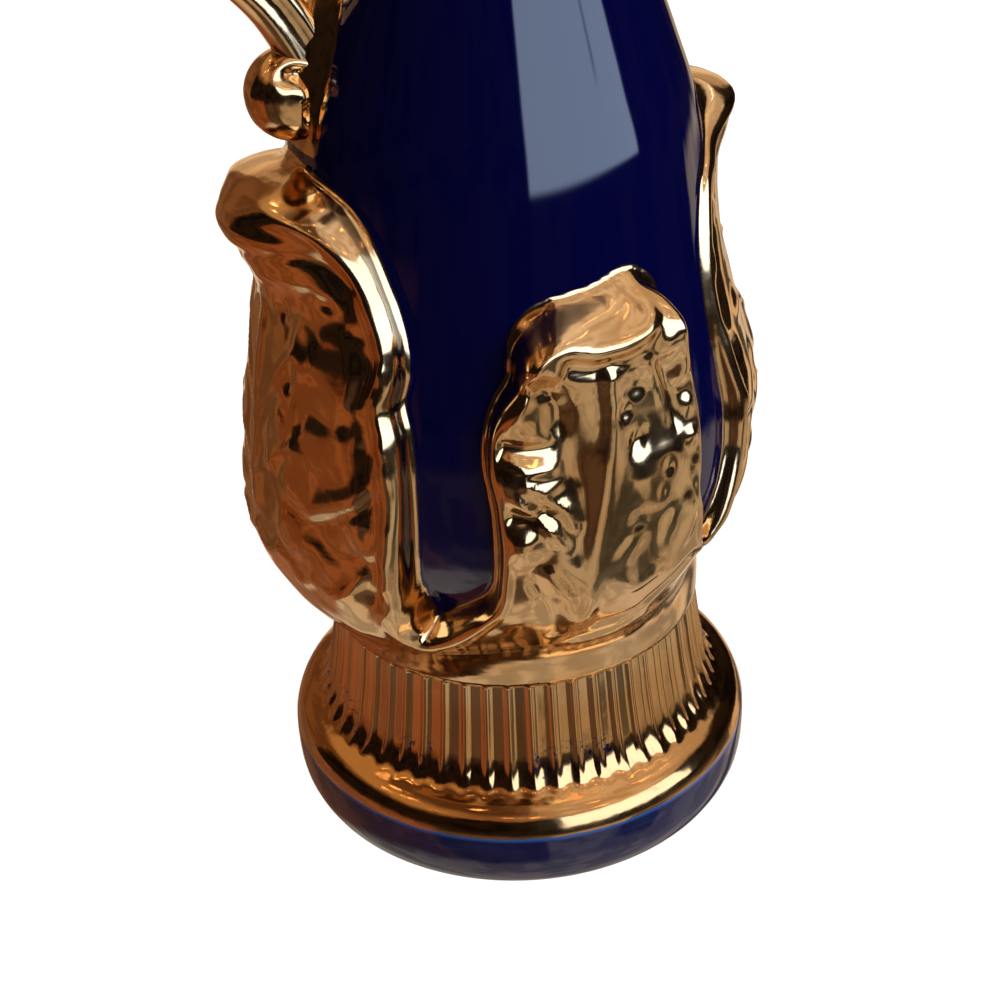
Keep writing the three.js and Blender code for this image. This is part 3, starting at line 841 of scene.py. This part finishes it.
    def mesh(self, rings: list[np.ndarray], gilt: list[np.ndarray], clay: list[float]) -> bpy.types.Object:
        """Join the rings.

        Args:
            rings: Points of each ring.
            gilt: Depth inside the gilding at each point.
            clay: Share of bare clay on each ring.

        Returns:
            The object.
        """
        starts = np.cumsum([0] + [len(r) for r in rings])
        faces: list[list[int]] = []
        for k in range(len(rings) - 1):
            n, m = len(rings[k]), len(rings[k + 1])
            if n == m:
                for i in range(n):
                    j = (i + 1) % n
                    faces.append([starts[k] + i, starts[k] + j, starts[k + 1] + j, starts[k + 1] + i])
                continue
            fewer, more, flip = (k, k + 1, False) if n < m else (k + 1, k, True)
            ratio = len(rings[more]) // len(rings[fewer])
            for i in range(len(rings[fewer])):
                j = (i + 1) % len(rings[fewer])
                run = [starts[more] + (i * ratio + s) % len(rings[more]) for s in range(ratio + 1)]
                face = [starts[fewer] + i, starts[fewer] + j, *reversed(run)]
                faces.append(face[::-1] if flip else face)
        faces.append([int(starts[0] + i) for i in reversed(range(len(rings[0])))])
        faces.append([int(starts[-2] + i) for i in range(len(rings[-1]))])
        bare = np.concatenate([np.full(len(r), c) for r, c in zip(rings, clay)])
        corners = [[int(v) for v in face] for face in faces]
        return make_piece("vase_body", np.concatenate(rings), corners, np.concatenate(gilt), bare)


@dataclass
class Handle:
    """Arm and scroll of the handle; millimetres."""

    path: tuple[Span, ...] = (
        (-36.4, 174.4), (-42.8, 185.6), (-53.8, 198), (-66.6, 214.6), (-77, 236), (-81.3, 258), (-77, 280),
        (-65, 296.5), (-50, 305), (-36, 303.5), (-25.2, 298.4),
    )
    width: float = 10.2
    thickness: float = 10.0
    groove: float = 1.0
    steps: int = 160
    around: int = 48
    scroll_centre: Span = (-40.8, 168.4)
    scroll_radius: float = 8.8
    scroll_half_width: float = 7.0

    def section(self) -> np.ndarray:
        """Draw the arm's section, grooved on both sides.

        Returns:
            Points of its outline, as shares of half its width and thickness.
        """
        t = np.arange(self.around) * 2 * math.pi / self.around
        cos, sin = np.cos(t), np.sin(t)
        power = 2 / 2.9
        u = np.sign(cos) * np.abs(cos) ** power
        v = np.sign(sin) * np.abs(sin) ** power
        dip = self.groove / (self.thickness / 2) * bell(u, 0, 0.34) * (np.abs(sin) > 0.3)
        return np.stack([u, v - np.sign(v) * dip], -1)

    def build(self) -> bpy.types.Object:
        """Sweep the arm and turn the scroll.

        Returns:
            The handle's object.
        """
        line = spline(np.array(self.path, float), 20)
        length = np.concatenate([[0], np.cumsum(np.linalg.norm(np.diff(line, axis=0), axis=1))])
        at = np.linspace(0, length[-1], self.steps + 1)
        line = np.stack([np.interp(at, length, line[:, 0]), np.interp(at, length, line[:, 1])], -1)
        tangent = np.gradient(line, axis=0)
        tangent /= np.linalg.norm(tangent, axis=1, keepdims=True)
        section = self.section()
        points: list[tuple[float, float, float]] = []
        faces: list[list[int]] = []
        n = len(section)
        for i, ((x, z), (tx, tz)) in enumerate(zip(line, tangent)):
            grow = 1 - 0.16 * math.sin(math.pi * i / self.steps)
            for u, v in section:
                points.append((
                    x + tz * u * self.width / 2 * grow,
                    v * self.thickness / 2 * grow,
                    z - tx * u * self.width / 2 * grow,
                ))
        for i in range(self.steps):
            for j in range(n):
                k = (j + 1) % n
                faces.append([i * n + j, i * n + k, (i + 1) * n + k, (i + 1) * n + j])
        faces.append(list(range(n))[::-1])
        faces.append([self.steps * n + j for j in range(n)])
        self.add_scroll(points, faces)
        gold = np.full(len(points), ALL_GOLD)
        return make_piece("vase_handle", np.array(points, float), faces, gold, gold * 0)

    def add_scroll(self, points: list[tuple[float, float, float]], faces: list[list[int]]) -> None:
        """Turn the scroll about a level axis, with a spiral hollow in each end.

        Args:
            points: Points to add to.
            faces: Faces to add to.
        """
        w, r = self.scroll_half_width, self.scroll_radius
        around = 96
        t = 2 * math.pi * np.arange(around) / around
        reach = r * np.concatenate([np.linspace(0.03, 0.9, 28), [0.93, 0.955, 0.975, 0.99, 0.998, 1.0]])
        rounded = Curve([
            (0.0, w), (0.3 * r, w * 0.99), (0.55 * r, w * 0.93), (0.75 * r, w * 0.8), (0.9 * r, w * 0.56),
            (0.97 * r, w * 0.3), (r, 0.0),
        ])
        degrees = np.mod(np.degrees(t) + 120, 360) - 120
        depth = 2.7 * ramp(-95, -55, degrees) * (1 - ramp(85, 150, degrees))
        middle = r * (0.3 + 0.26 * (degrees + 80) / 190)
        rings = [float(rounded(radius)) - depth * bell(radius - middle, 0, 1.7) for radius in reach]
        inward = [(x, y) for x, y in zip(reach[::-1][1:], rings[::-1][1:])]
        profile = [(x, -y) for x, y in zip(reach, rings)] + inward
        start = len(points)
        for radius, side in profile:
            for j in range(around):
                points.append((
                    self.scroll_centre[0] + radius * math.cos(t[j]), float(side[j]),
                    self.scroll_centre[1] + radius * math.sin(t[j]),
                ))
        for i in range(len(profile) - 1):
            for j in range(around):
                k = (j + 1) % around
                a, b = start + i * around, start + (i + 1) * around
                faces.append([a + k, a + j, b + j, b + k])
        faces.append([start + j for j in range(around)])
        faces.append([start + (len(profile) - 1) * around + j for j in range(around)][::-1])


class Nodes:
    """Short hand for building a node tree."""

    def __init__(self, tree: bpy.types.NodeTree) -> None:
        """Start with an empty tree.

        Args:
            tree: Tree to fill.
        """
        self.tree = tree
        tree.nodes.clear()

    def add(self, kind: str, **values: object) -> bpy.types.Node:
        """Add a node.

        Args:
            kind: Node type.
            values: Node properties by name, or input values by their label with spaces as underscores.

        Returns:
            The node.
        """
        node = self.tree.nodes.new(kind)
        for name, value in values.items():
            if hasattr(node, name):
                setattr(node, name, value)
            else:
                node.inputs[name.replace("_", " ")].default_value = value
        return node

    def link(self, source: bpy.types.NodeSocket, target: bpy.types.NodeSocket) -> None:
        """Join two sockets.

        Args:
            source: Output.
            target: Input.
        """
        self.tree.links.new(source, target)

    def math(self, operation: str, a: object, b: object = 0.0, c: object = 0.0) -> bpy.types.NodeSocket:
        """Add a math node.

        Args:
            operation: Operation.
            a: First input, a socket or a number.
            b: Second input.
            c: Third input.

        Returns:
            Its output.
        """
        node = self.tree.nodes.new("ShaderNodeMath")
        node.operation = operation
        for socket, value in zip(node.inputs, (a, b, c)):
            if isinstance(value, bpy.types.NodeSocket):
                self.link(value, socket)
            else:
                socket.default_value = value
        return node.outputs[0]

    def span(
        self, value: bpy.types.NodeSocket, low: float, high: float, to: Span = (0.0, 1.0)
    ) -> bpy.types.NodeSocket:
        """Map a range smoothly.

        Args:
            value: Input.
            low: Start of the range.
            high: End of the range.
            to: What the ends become.

        Returns:
            The mapped output.
        """
        node = self.add("ShaderNodeMapRange", interpolation_type="SMOOTHSTEP")
        self.link(value, node.inputs["Value"])
        for name, number in zip(("From Min", "From Max", "To Min", "To Max"), (low, high, *to)):
            node.inputs[name].default_value = number
        return node.outputs["Result"]

    def mix(self, factor: bpy.types.NodeSocket, a: object, b: object) -> bpy.types.NodeSocket:
        """Mix two colours.

        Args:
            factor: Share of b.
            a: Socket or colour.
            b: Socket or colour.

        Returns:
            The colour.
        """
        node = self.add("ShaderNodeMix", data_type="RGBA")
        self.link(factor, node.inputs[0])
        for socket, value in ((node.inputs[6], a), (node.inputs[7], b)):
            if isinstance(value, bpy.types.NodeSocket):
                self.link(value, socket)
            else:
                socket.default_value = (*value, 1.0)
        return node.outputs[2]

    def noise(self, where: bpy.types.NodeSocket, scale: float, detail: float = 3.0) -> bpy.types.NodeSocket:
        """Add a noise texture.

        Args:
            where: Coordinates.
            scale: Scale.
            detail: Detail.

        Returns:
            Its value.
        """
        node = self.add("ShaderNodeTexNoise", Scale=scale, Detail=detail)
        self.link(where, node.inputs["Vector"])
        return node.outputs["Fac"]


@dataclass(frozen=True)
class Finish:
    """Cobalt glaze and gold lustre of the vase."""

    cobalt: Colour = (0.0014, 0.002, 0.05)
    # Paler blue of the foot band's top line and its faint streaks.
    cobalt_pale: Colour = (0.03, 0.16, 0.5)
    gold: Colour = (0.84, 0.59, 0.32)
    gold_deep: Colour = (0.78, 0.48, 0.22)
    gold_foot: Colour = (0.74, 0.42, 0.17)
    clay: Colour = (0.62, 0.56, 0.47)
    cobalt_roughness: float = 0.05
    gold_roughness: float = 0.1

    def material(self) -> bpy.types.Material:
        """Build the material.

        Returns:
            The material, which reads the gilt and bare attributes.
        """
        material = bpy.data.materials.new("cobalt_and_gold")
        material.use_nodes = True
        n = Nodes(material.node_tree)
        where = n.add("ShaderNodeTexCoord").outputs["Object"]
        gilt = n.add("ShaderNodeAttribute", attribute_name="gilt").outputs["Fac"]
        bare = n.add("ShaderNodeAttribute", attribute_name="bare").outputs["Fac"]
        split = n.add("ShaderNodeSeparateXYZ")
        n.link(where, split.inputs[0])
        height = split.outputs["Z"]
        wobble = n.math("MULTIPLY_ADD", n.noise(where, 260.0), 0.6, -0.3)
        edge = n.span(n.math("ADD", gilt, wobble), -1.0, -0.9)
        specks = n.span(n.noise(where, 900.0, 4.0), 0.58, 0.62)
        patch = n.span(n.noise(where, 60.0, 2.0), 0.5, 0.6)
        low = n.math("MULTIPLY", n.span(height, 0.0225, 0.0245), n.span(height, 0.034, 0.028))
        worn = n.math("MULTIPLY", n.math("MULTIPLY", specks, patch), low)
        lustre = n.math("MULTIPLY", edge, n.math("SUBTRACT", 1.0, worn))
        tone = n.span(n.noise(where, 70.0, 4.0), 0.35, 0.7)
        gold_colour = n.mix(tone, self.gold, self.gold_deep)
        gold_colour = n.mix(n.span(height, 0.046, 0.036), gold_colour, self.gold_foot)
        # Paler blue along the top edge of the foot band and in faint streaks round it.
        band = n.math("MULTIPLY", n.span(height, 0.0162, 0.0150), n.span(height, 0.001, 0.004))
        top_line = n.math("MULTIPLY", band, n.span(height, 0.0134, 0.0147))
        streak_map = n.add("ShaderNodeMapping", Scale=(9.0, 9.0, 160.0))
        n.link(where, streak_map.inputs["Vector"])
        streak = n.span(n.noise(streak_map.outputs[0], 6.0, 4.0), 0.5, 0.75)
        streaks = n.math("MULTIPLY", band, n.math("MULTIPLY_ADD", streak, 0.08, 0.02))
        pale = n.math("MAXIMUM", top_line, streaks)
        cobalt = n.mix(pale, self.cobalt, self.cobalt_pale)
        clayed = n.mix(n.span(bare, 0.3, 0.8), cobalt, self.clay)
        glaze = n.add("ShaderNodeBsdfPrincipled", Roughness=self.cobalt_roughness, Metallic=0.0)
        glaze.inputs["IOR"].default_value = 1.7
        n.link(clayed, glaze.inputs["Base Color"])
        metal = n.add("ShaderNodeBsdfPrincipled", Metallic=1.0)
        n.link(gold_colour, metal.inputs["Base Color"])
        polish = n.span(n.noise(where, 150.0, 3.0), 0.3, 0.8, (self.gold_roughness, 0.16))
        n.link(polish, metal.inputs["Roughness"])
        pits = n.add("ShaderNodeBump", Strength=0.13, Distance=0.0008)
        n.link(n.noise(where, 170.0, 2.0), pits.inputs["Height"])
        n.link(pits.outputs[0], metal.inputs["Normal"])
        ripple = n.add("ShaderNodeBump", Strength=0.04, Distance=0.001)
        n.link(n.noise(where, 38.0, 2.0), ripple.inputs["Height"])
        n.link(ripple.outputs[0], glaze.inputs["Normal"])
        both = n.add("ShaderNodeMixShader")
        n.link(lustre, both.inputs[0])
        n.link(glaze.outputs[0], both.inputs[1])
        n.link(metal.outputs[0], both.inputs[2])
        out = n.add("ShaderNodeOutputMaterial")
        n.link(both.outputs[0], out.inputs["Surface"])
        return material


@dataclass
class Room:
    """Floor, light and surroundings that the glaze and the gold reflect."""

    patches: tuple[tuple[Span, Span, float, Colour], ...] = (
        ((-200, -62), (-90, -8), 3.0, (0.30, 0.10, 0.037)),
        ((-62, -12), (-90, -12), 3.0, (0.10, 0.06, 0.04)),
        ((-12, 98), (-90, -21), 2.0, (0.50, 0.42, 0.33)),
        ((-12, 78), (-24, -16), 2.0, (0.50, 0.42, 0.33)),
        ((98, 200), (-90, -10), 2.0, (0.82, 0.62, 0.43)),
        ((134, 200), (-12, 36), 2.0, (0.88, 0.6, 0.36)),
        ((-200, 200), (-90, -51), 3.0, (0.66, 0.55, 0.44)),
        ((26, 46), (-44, -18), 2.0, (0.09, 0.085, 0.07)),
        ((112, 126), (-60, -14), 2.0, (0.05, 0.045, 0.03)),
        ((150, 164), (-30, 30), 2.0, (0.05, 0.045, 0.03)),
        ((-200, -132), (-30, 40), 2.0, (0.22, 0.10, 0.045)),
        ((-132, -60), (29, 40), 2.0, (0.24, 0.12, 0.055)),
    )
    unlit: tuple[Colour, Colour] = ((0.005, 0.004, 0.004), (0.018, 0.011, 0.008))
    ceiling_left: tuple[Colour, Colour] = ((0.5, 0.3, 0.14), (0.28, 0.14, 0.075))
    ceiling_right: tuple[Colour, Colour] = ((0.85, 0.72, 0.62), (0.58, 0.46, 0.36))
    ceiling_dark: Colour = (0.11, 0.052, 0.03)
    spotlight: Colour = (11.0, 6.0, 3.0)
    pane: tuple[Span, Span] = ((-5.5, 59.5), (-0.5, 36))
    pane_bar: tuple[Span, Span] = ((41.5, 43.5), (16, 60))
    daylight: Colour = (1.85, 2.3, 3.15)
    backdrop: Colour = (1.2, 1.2, 1.2)

    def floor(self) -> bpy.types.Object:
        """Lay the pale floor, which thins out away from the vase.

        Returns:
            The floor.
        """
        bpy.ops.mesh.primitive_plane_add(size=9.0, location=(0, 0, 0))
        floor = bpy.context.object
        floor.name = "floor"
        material = bpy.data.materials.new("floor_white")
        material.use_nodes = True
        n = Nodes(material.node_tree)
        where = n.add("ShaderNodeTexCoord").outputs["Object"]
        length = n.add("ShaderNodeVectorMath", operation="LENGTH")
        n.link(where, length.inputs[0])
        share = n.span(length.outputs["Value"], 0.09, 0.2, (0.1, 0.0))
        sheet = n.add("ShaderNodeBsdfPrincipled", Roughness=0.8)
        sheet.inputs["Base Color"].default_value = (0.9, 0.9, 0.9, 1)
        sheet.inputs["Emission Color"].default_value = (1.0, 0.97, 0.93, 1)
        sheet.inputs["Emission Strength"].default_value = 0.1
        clear = n.add("ShaderNodeBsdfTransparent")
        both = n.add("ShaderNodeMixShader")
        n.link(share, both.inputs[0])
        n.link(clear.outputs[0], both.inputs[1])
        n.link(sheet.outputs[0], both.inputs[2])
        out = n.add("ShaderNodeOutputMaterial")
        n.link(both.outputs[0], out.inputs["Surface"])
        floor.data.materials.append(material)
        return floor

    def world(self) -> None:
        """Paint the surroundings: white to the camera, a warm room with one window to the reflections."""
        world = bpy.data.worlds.new("room")
        bpy.context.scene.world = world
        world.use_nodes = True
        n = Nodes(world.node_tree)
        where = n.add("ShaderNodeTexCoord").outputs["Generated"]
        split = n.add("ShaderNodeSeparateXYZ")
        n.link(where, split.inputs[0])
        degrees = 180 / math.pi
        wave = n.math("MULTIPLY_ADD", n.noise(where, 3.4, 2.0), 24.0, -12.0)
        level = n.math("MULTIPLY", n.math("ARCSINE", split.outputs["Z"]), degrees)
        ahead = n.math("MULTIPLY", split.outputs["Y"], -1.0)
        azimuth = n.math("MULTIPLY", n.math("ARCTAN2", split.outputs["X"], ahead), degrees)
        rough_azimuth = n.math("ADD", azimuth, wave)
        rough_level = n.math("ADD", level, n.math("MULTIPLY", wave, 0.4))

        def region(across: Span, up: Span, soft: float, rough: bool) -> bpy.types.NodeSocket:
            """Mask a patch of the surroundings.

            Args:
                across: Range of azimuths.
                up: Range of elevations.
                soft: Half the width of its edge.
                rough: Whether its edge wavers.

            Returns:
                1 inside the patch and 0 outside.
            """
            a, e = (rough_azimuth, rough_level) if rough else (azimuth, level)
            mask = n.span(a, across[0] - soft, across[0] + soft)
            mask = n.math("MULTIPLY", mask, n.span(a, across[1] + soft, across[1] - soft))
            mask = n.math("MULTIPLY", mask, n.span(e, up[0] - soft, up[0] + soft))
            return n.math("MULTIPLY", mask, n.span(e, up[1] + soft, up[1] - soft))

        mottle = n.span(n.noise(where, 5.0, 3.0), 0.44, 0.56)
        colour = n.mix(mottle, *self.unlit)
        for across, up, soft, paint in self.patches:
            dim = tuple(0.6 * c for c in paint)
            colour = n.mix(region(across, up, soft, True), colour, n.mix(mottle, paint, dim))
        above = n.mix(n.span(rough_azimuth, -72, -42), *self.ceiling_left)
        above = n.mix(n.span(rough_azimuth, -34, 4), above, n.mix(mottle, *self.ceiling_right))
        dark = n.math("MULTIPLY", n.span(rough_level, 50, 62), n.span(rough_azimuth, -10, -30))
        above = n.mix(dark, above, self.ceiling_dark)
        colour = n.mix(n.span(rough_level, 33, 39), colour, above)
        spots = n.add("ShaderNodeTexVoronoi", Scale=7.5)
        n.link(where, spots.inputs["Vector"])
        dot = n.math("MULTIPLY", n.span(spots.outputs["Distance"], 0.15, 0.12), n.span(level, 38, 44))
        colour = n.mix(dot, colour, self.spotlight)
        bar = n.math("MULTIPLY", region(*self.pane_bar, 0.5, False), 0.45)
        pane = n.math("MULTIPLY", region(*self.pane, 1.0, False), n.math("SUBTRACT", 1.0, bar))
        colour = n.mix(pane, colour, self.daylight)
        path = n.add("ShaderNodeLightPath")
        colour = n.mix(path.outputs["Is Camera Ray"], colour, self.backdrop)
        background = n.add("ShaderNodeBackground", Strength=1.0)
        n.link(colour, background.inputs["Color"])
        out = n.add("ShaderNodeOutputWorld")
        n.link(background.outputs[0], out.inputs["Surface"])

    def lamp(
        self, name: str, azimuth: float, elevation: float, distance: float, size: Span, power: float,
        colour: Colour = (1.0, 1.0, 1.0), target: float = 0.1,
    ) -> bpy.types.Object:
        """Hang an area lamp.

        Args:
            name: Name.
            azimuth: Direction in degrees, 0 in front and positive to the right.
            elevation: Height in degrees.
            distance: Distance from the vase in metres.
            size: Width and height in metres.
            power: Power in watts.
            colour: Colour.
            target: Height of the point it faces.

        Returns:
            The lamp.
        """
        data = bpy.data.lights.new(name, "AREA")
        data.shape = "RECTANGLE"
        data.size, data.size_y = size
        data.energy = power
        data.color = colour
        lamp = bpy.data.objects.new(name, data)
        a, e = math.radians(azimuth), math.radians(elevation)
        way = Vector((math.sin(a) * math.cos(e), -math.cos(a) * math.cos(e), math.sin(e)))
        focus = Vector((AXIS_X * MM, 0, target))
        lamp.location = focus + way * distance
        lamp.rotation_mode = "QUATERNION"
        lamp.rotation_quaternion = way.to_track_quat("Z", "Y")
        bpy.context.scene.collection.objects.link(lamp)
        return lamp

    def build(self) -> None:
        """Set up the room."""
        self.floor()
        self.world()
        self.lamp("softbox", 150.0, 48.0, 1.5, (0.5, 0.7), 4.0, (1.0, 0.95, 0.88))
        bpy.context.scene.view_settings.view_transform = "Standard"


@dataclass(frozen=True)
class PhotoCamera:
    """Camera that took the photo, worked out from the foot's rings and the leaves; millimetres, degrees."""

    azimuth: float = -22.0
    pitch: float = 31.146
    roll: float = 2.805
    distance: float = 364.77
    look_x: float = -2.357
    look_z: float = 67.945
    lens: float = 57.6

    def build(self) -> bpy.types.Object:
        """Place the camera.

        Returns:
            The camera.
        """
        a, p, r = (math.radians(v) for v in (self.azimuth, self.pitch, self.roll))
        right = Vector((math.cos(a), math.sin(a), 0.0))
        back = Vector((math.sin(a), -math.cos(a), 0.0))
        forward = -back * math.cos(p) + Vector((0, 0, -math.sin(p)))
        up = -back * math.sin(p) + Vector((0, 0, math.cos(p)))
        turned_right = right * math.cos(r) - up * math.sin(r)
        turned_up = right * math.sin(r) + up * math.cos(r)
        place = Vector((AXIS_X, 0, self.look_z)) + right * self.look_x - forward * self.distance
        data = bpy.data.cameras.new("camera")
        data.lens = self.lens
        data.sensor_width = 36.0
        data.clip_start, data.clip_end = 0.01, 50.0
        camera = bpy.data.objects.new("camera", data)
        matrix = Matrix((turned_right, turned_up, -forward)).transposed().to_4x4()
        matrix.translation = place * MM
        camera.matrix_world = matrix
        bpy.context.scene.collection.objects.link(camera)
        bpy.context.scene.camera = camera
        return camera


@dataclass
class PitcherVase:
    """The whole vase."""

    body: Body = field(default_factory=Body)
    handle: Handle = field(default_factory=Handle)
    finish: Finish = field(default_factory=Finish)

    def build(self) -> list[bpy.types.Object]:
        """Build the body and handle and put them on the frame.

        Returns:
            The pieces.
        """
        material = self.finish.material()
        body = self.body.build()
        handle = self.handle.build()
        for piece in (body, handle):
            piece.data.materials.append(material)
            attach(piece, "root")
        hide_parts("pitcher_vase")
        return [body, handle]


def main() -> None:
    """Build the scene in order."""
    logging.basicConfig(level=logging.INFO, format="%(name)s %(message)s")
    for piece in PitcherVase().build():
        log.info("built %s", piece.name)
    Room().build()
    log.info("built the room")
    camera = PhotoCamera().build()
    log.info("placed the %s", camera.name)


if __name__ == "__main__":
    main()
